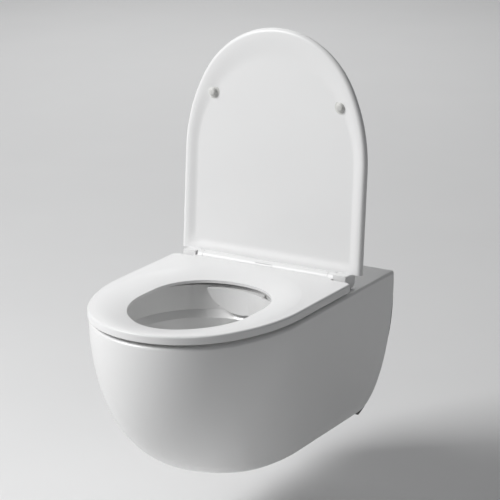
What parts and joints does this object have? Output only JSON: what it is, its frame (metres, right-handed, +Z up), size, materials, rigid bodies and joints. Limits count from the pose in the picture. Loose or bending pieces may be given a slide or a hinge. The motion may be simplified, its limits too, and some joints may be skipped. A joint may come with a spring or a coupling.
{
  "type": "wall hung toilet",
  "caption": "Rimless wall hung toilet pan with a slim soft close seat and lid, quick release hinge bar, hidden wall fixings, flush inlet and horizontal waste outlet.",
  "frame": {"origin": "middle of the two wall fixing holes, on the wall plane", "axes": "+Z up, -Y from the wall towards the user, +X to the right when looking at the wall"},
  "size_m": [0.36, 0.54, 0.7062],
  "materials": {
    "china": "glossy white glaze",
    "duroplast": "glossy white thermoset",
    "button_plastic": "glossy white",
    "grey_plastic": "moulded grey acetal",
    "clear_silicone": "translucent soft",
    "soft_rubber": "matt black",
    "foam": "closed cell foam sheet",
    "zinc_steel": "zinc plated",
    "stainless": "satin stainless",
    "spring_steel": "drawn wire"
  },
  "bodies": {
    "pan": {"ceramic_pan": "china", "wall_pad": "foam", "fixing_bracket_left": "zinc_steel", "fixing_bracket_right": "zinc_steel", "cross_screw_left": "zinc_steel", "cross_screw_right": "zinc_steel", "post_left": "stainless", "post_right": "stainless", "post_gasket_left": "soft_rubber", "post_gasket_right": "soft_rubber", "post_screw_left": "stainless", "post_screw_right": "stainless", "rubber_dowel_left": "soft_rubber", "rubber_dowel_right": "soft_rubber", "dowel_nut_left": "stainless", "dowel_nut_right": "stainless", "hinge_bar": "duroplast", "hinge_bar_base": "grey_plastic", "lid_damper": "grey_plastic", "seat_damper": "grey_plastic", "return_spring": "spring_steel"},
    "seat": {"seat": "duroplast", "seat_damper_shaft": "stainless", "seat_bush": "grey_plastic", "seat_buffer_front_left": "clear_silicone", "seat_buffer_front_right": "clear_silicone", "seat_buffer_rear_left": "clear_silicone", "seat_buffer_rear_right": "clear_silicone"},
    "lid": {"lid": "duroplast", "lid_damper_shaft": "stainless", "lid_bush": "grey_plastic", "lid_buffer_left": "clear_silicone", "lid_buffer_right": "clear_silicone"},
    "button": {"release_button": "button_plastic"},
    "latch_left": {"latch_left": "stainless"},
    "latch_right": {"latch_right": "stainless"}
  },
  "joints": [
    {"name": "lid_hinge", "type": "hinge", "parent": "pan", "child": "lid", "pos_m": [0, -0.134, 0.096], "axis": [-1, 0, 0], "range_deg": [-95.5, 0]},
    {"name": "seat_hinge", "type": "hinge", "parent": "pan", "child": "seat", "pos_m": [0, -0.134, 0.096], "axis": [-1, 0, 0], "range_deg": [0, 95.5]},
    {"name": "release_press", "type": "slide", "parent": "pan", "child": "button", "axis": [0, 1, 0], "range_m": [0, 0.003], "stiffness_N_per_m": 400, "springref_m": -0.002, "deforming": ["return_spring"]},
    {"name": "latch_left_slide", "type": "slide", "parent": "pan", "child": "latch_left", "axis": [1, 0, 0], "range_m": [0, 0.00165]},
    {"name": "latch_right_slide", "type": "slide", "parent": "pan", "child": "latch_right", "axis": [-1, 0, 0], "range_m": [0, 0.00165]}
  ],
  "couplings": [
    {"joint": "latch_left_slide", "follows": "release_press", "ratio": 0.5333},
    {"joint": "latch_right_slide", "follows": "release_press", "ratio": 0.5333}
  ]
}
